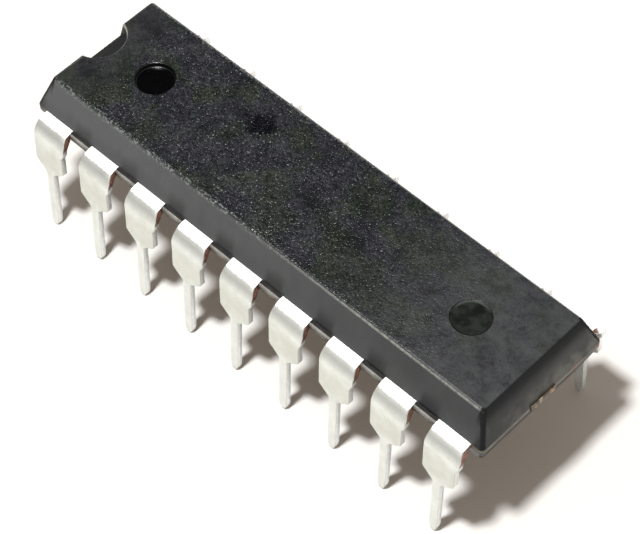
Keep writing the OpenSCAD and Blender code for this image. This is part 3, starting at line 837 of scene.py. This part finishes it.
def lead_mesh(number):
    """One lead, numbered anticlockwise from the notch: 1 to 9 in the near row, the rest in the far row."""
    side = -1 if number <= ROW else 1
    middle = (ROW + 1) // 2
    index = number - middle if number <= ROW else ROW + middle - number
    x0 = index * PITCH
    bm = bmesh.new()
    add_strip(bm, number, x0, side)
    add_finger(bm, index, x0, side)
    bmesh.ops.recalc_face_normals(bm, faces=bm.faces)
    for f in bm.faces:
        f.smooth = True
    for v in bm.verts:
        v.co *= MM
    mesh = bpy.data.meshes.new(f"lead_strip_{number:02d}")
    bm.to_mesh(mesh)
    bm.free()
    for key in ("tin", "burnished", "fractured"):
        mesh.materials.append(MATS[key])
    mesh.set_sharp_from_angle(angle=LEAD_SHARP)
    return mesh


def make_leads():
    for number in range(1, 2 * ROW + 1):
        ob = add_object(f"lead_strip_{number:02d}", lead_mesh(number), f"lead_{number:02d}")
        weighted_normals(ob, 50)


def dress_inside():
    """The pieces inside keep their CAD meshes and only get a material."""
    looks = {"die_paddle": "copper", "die_adhesive": "adhesive", "silicon_die": "silicon"}
    for name, ob in NODES.items():
        key = "gold" if name.startswith("bond_wire") else looks.get(name)
        if key:
            ob.data.materials.clear()
            ob.data.materials.append(MATS[key])


# Floor, light and camera

WHITE = (1.0, 1.0, 1.0, 1)
FLOOR_HALF = 1.2
FLOOR_COLOR = (0.50, 0.495, 0.487, 1)
# What the floor adds for the eye and for mirrors: a warm tone close by, white further out
NEAR_TONE = (0.060, 0.043, 0.027, 1)
# Between which distances in metres the white comes in, outwards and behind, and how much of it
OUTWARD = (0.010, 0.060, 0.9)
BACKWARD = (0.0056, 0.011, 0.30)
SOFT_COLOR = (1.0, 0.93, 0.86, 1)
SOFT_LIGHT = 0.40
# The mirrored surround, by the direction's Y and Z: it grows between two values of Y from its
# strength in front to that behind, and fades between two values of Z to its remainder overhead
GROW_FROM = -0.9
GROW_TO = 0.7
FADE_FROM = 0.22
FADE_TO = 0.48
SURROUND_FRONT = 0.35
SURROUND_BACK = 1.3
SURROUND_TOP = 0.04
# The key lamp's place in mm, its size in metres, its power and its colour
KEY_PLACE = Vector((1.3, -32.8, 112.3))
KEY_SIZE = 0.013
KEY_POWER = 0.25
KEY_COLOR = (1.0, 0.99, 0.975)
# The camera fitted to the photo: turn, shift in mm, and focal length in pixels of the photo's width
CAMERA_TURN = Vector((2.37379448, 0.94783406, -0.33827492))
CAMERA_SHIFT = Vector((-0.42960421, -1.84563186, 87.53535011))
FOCAL_LENGTH = 2370.22691
PHOTO_WIDTH = 640
SENSOR_WIDTH = 36


def make_floor():
    """A pale sweep that keeps the part's shadow and stays white further out, where the lamp is weaker."""
    mesh = bpy.data.meshes.new("floor")
    r = FLOOR_HALF
    mesh.from_pydata([(-r, -r, 0), (r, -r, 0), (r, r, 0), (-r, r, 0)], [], [(0, 1, 2, 3)])
    floor = bpy.data.objects.new("floor", mesh)
    bpy.context.scene.collection.objects.link(floor)
    mat = bpy.data.materials.new("floor")
    mat.use_nodes = True
    mat.node_tree.nodes.clear()

    def node(kind, inputs=None, **settings):
        return add_node(mat.node_tree, kind, settings, inputs)

    def rise(value, low, high, top):
        return node("ShaderNodeMapRange", {0: value, 1: low, 2: high, 3: 0.0, 4: top},
                    interpolation_type="SMOOTHSTEP").outputs[0]

    path = node("ShaderNodeLightPath").outputs
    mirrored = node("ShaderNodeMath", {0: path["Is Glossy Ray"], 1: path["Is Transmission Ray"]},
                    operation="MAXIMUM")
    seen = node("ShaderNodeMath", {0: path["Is Camera Ray"], 1: mirrored.outputs[0]}, operation="MAXIMUM")
    place = node("ShaderNodeTexCoord").outputs["Object"]
    away = node("ShaderNodeVectorMath", {0: place}, operation="LENGTH").outputs["Value"]
    behind = node("ShaderNodeSeparateXYZ", {0: place}).outputs["Y"]
    far = node("ShaderNodeMath", {0: rise(away, *OUTWARD), 1: rise(behind, *BACKWARD)},
               operation="ADD", use_clamp=True)
    tone = node("ShaderNodeMix", {0: far.outputs[0], 6: NEAR_TONE, 7: WHITE}, data_type="RGBA")
    diffuse = node("ShaderNodeBsdfDiffuse", {"Color": FLOOR_COLOR})
    lift = node("ShaderNodeEmission", {"Color": tone.outputs[2], "Strength": seen.outputs[0]})
    total = node("ShaderNodeAddShader", {0: diffuse.outputs[0], 1: lift.outputs[0]})
    node("ShaderNodeOutputMaterial", {"Surface": total.outputs[0]})
    mesh.materials.append(mat)


def make_world():
    """Soft fill for the surfaces, white for the camera, and for reflections a white surround
    that is brighter behind the part and dark overhead."""
    world = bpy.data.worlds.new("studio")
    bpy.context.scene.world = world
    world.use_nodes = True
    world.node_tree.nodes.clear()

    def node(kind, inputs=None, **settings):
        return add_node(world.node_tree, kind, settings, inputs)

    path = node("ShaderNodeLightPath").outputs
    toward = node("ShaderNodeSeparateXYZ", {0: node("ShaderNodeTexCoord").outputs["Generated"]}).outputs
    surround = node("ShaderNodeMapRange",
                    {0: toward[1], 1: GROW_FROM, 2: GROW_TO, 3: SURROUND_FRONT, 4: SURROUND_BACK},
                    interpolation_type="SMOOTHSTEP").outputs[0]
    height = node("ShaderNodeMapRange", {0: toward[2], 1: FADE_FROM, 2: FADE_TO, 3: 1.0, 4: 0.0},
                  interpolation_type="SMOOTHSTEP").outputs[0]
    seen = node("ShaderNodeMath", {0: surround, 1: height}, operation="MULTIPLY").outputs[0]
    seen = node("ShaderNodeMath", {0: seen, 1: SURROUND_TOP}, operation="ADD").outputs[0]
    soft = node("ShaderNodeBackground", {"Color": SOFT_COLOR, "Strength": SOFT_LIGHT})
    mirrored = node("ShaderNodeBackground", {"Color": WHITE, "Strength": seen})
    white = node("ShaderNodeBackground", {"Color": WHITE, "Strength": 1.0})
    glossy = node("ShaderNodeMixShader",
                  {0: path["Is Glossy Ray"], 1: soft.outputs[0], 2: mirrored.outputs[0]})
    through = node("ShaderNodeMath", {0: path["Is Camera Ray"], 1: path["Is Transmission Ray"]},
                   operation="MAXIMUM")
    both = node("ShaderNodeMixShader", {0: through.outputs[0], 1: glossy.outputs[0], 2: white.outputs[0]})
    node("ShaderNodeOutputWorld", {"Surface": both.outputs[0]})


def make_lamp():
    """A round soft lamp, turned towards the part."""
    data = bpy.data.lights.new("key", "AREA")
    data.shape = "DISK"
    data.size = KEY_SIZE
    data.energy = KEY_POWER
    data.color = KEY_COLOR
    lamp = bpy.data.objects.new("key", data)
    bpy.context.scene.collection.objects.link(lamp)
    lamp.location = KEY_PLACE * MM
    lamp.rotation_mode = "QUATERNION"
    lamp.rotation_quaternion = KEY_PLACE.to_track_quat("Z", "Y")


def make_camera():
    """The camera at the photograph's viewing angle."""
    r = Quaternion(CAMERA_TURN.normalized(), CAMERA_TURN.length).to_matrix()
    place = r.transposed() @ -CAMERA_SHIFT + Vector((0, 0, FRAME_TOP))
    rows = Matrix((r[0], -r[1], -r[2]))
    data = bpy.data.cameras.new("camera")
    data.sensor_width = SENSOR_WIDTH
    data.sensor_fit = "HORIZONTAL"
    data.lens = FOCAL_LENGTH * SENSOR_WIDTH / PHOTO_WIDTH
    data.clip_start = 0.002
    data.clip_end = 10
    cam = bpy.data.objects.new("camera", data)
    bpy.context.scene.collection.objects.link(cam)
    cam.matrix_world = Matrix.Translation(place * MM) @ rows.transposed().to_4x4()
    bpy.context.scene.camera = cam


make_body()
make_leads()
dress_inside()
make_floor()
make_world()
make_lamp()
make_camera()
bpy.context.scene.view_settings.view_transform = "Standard"
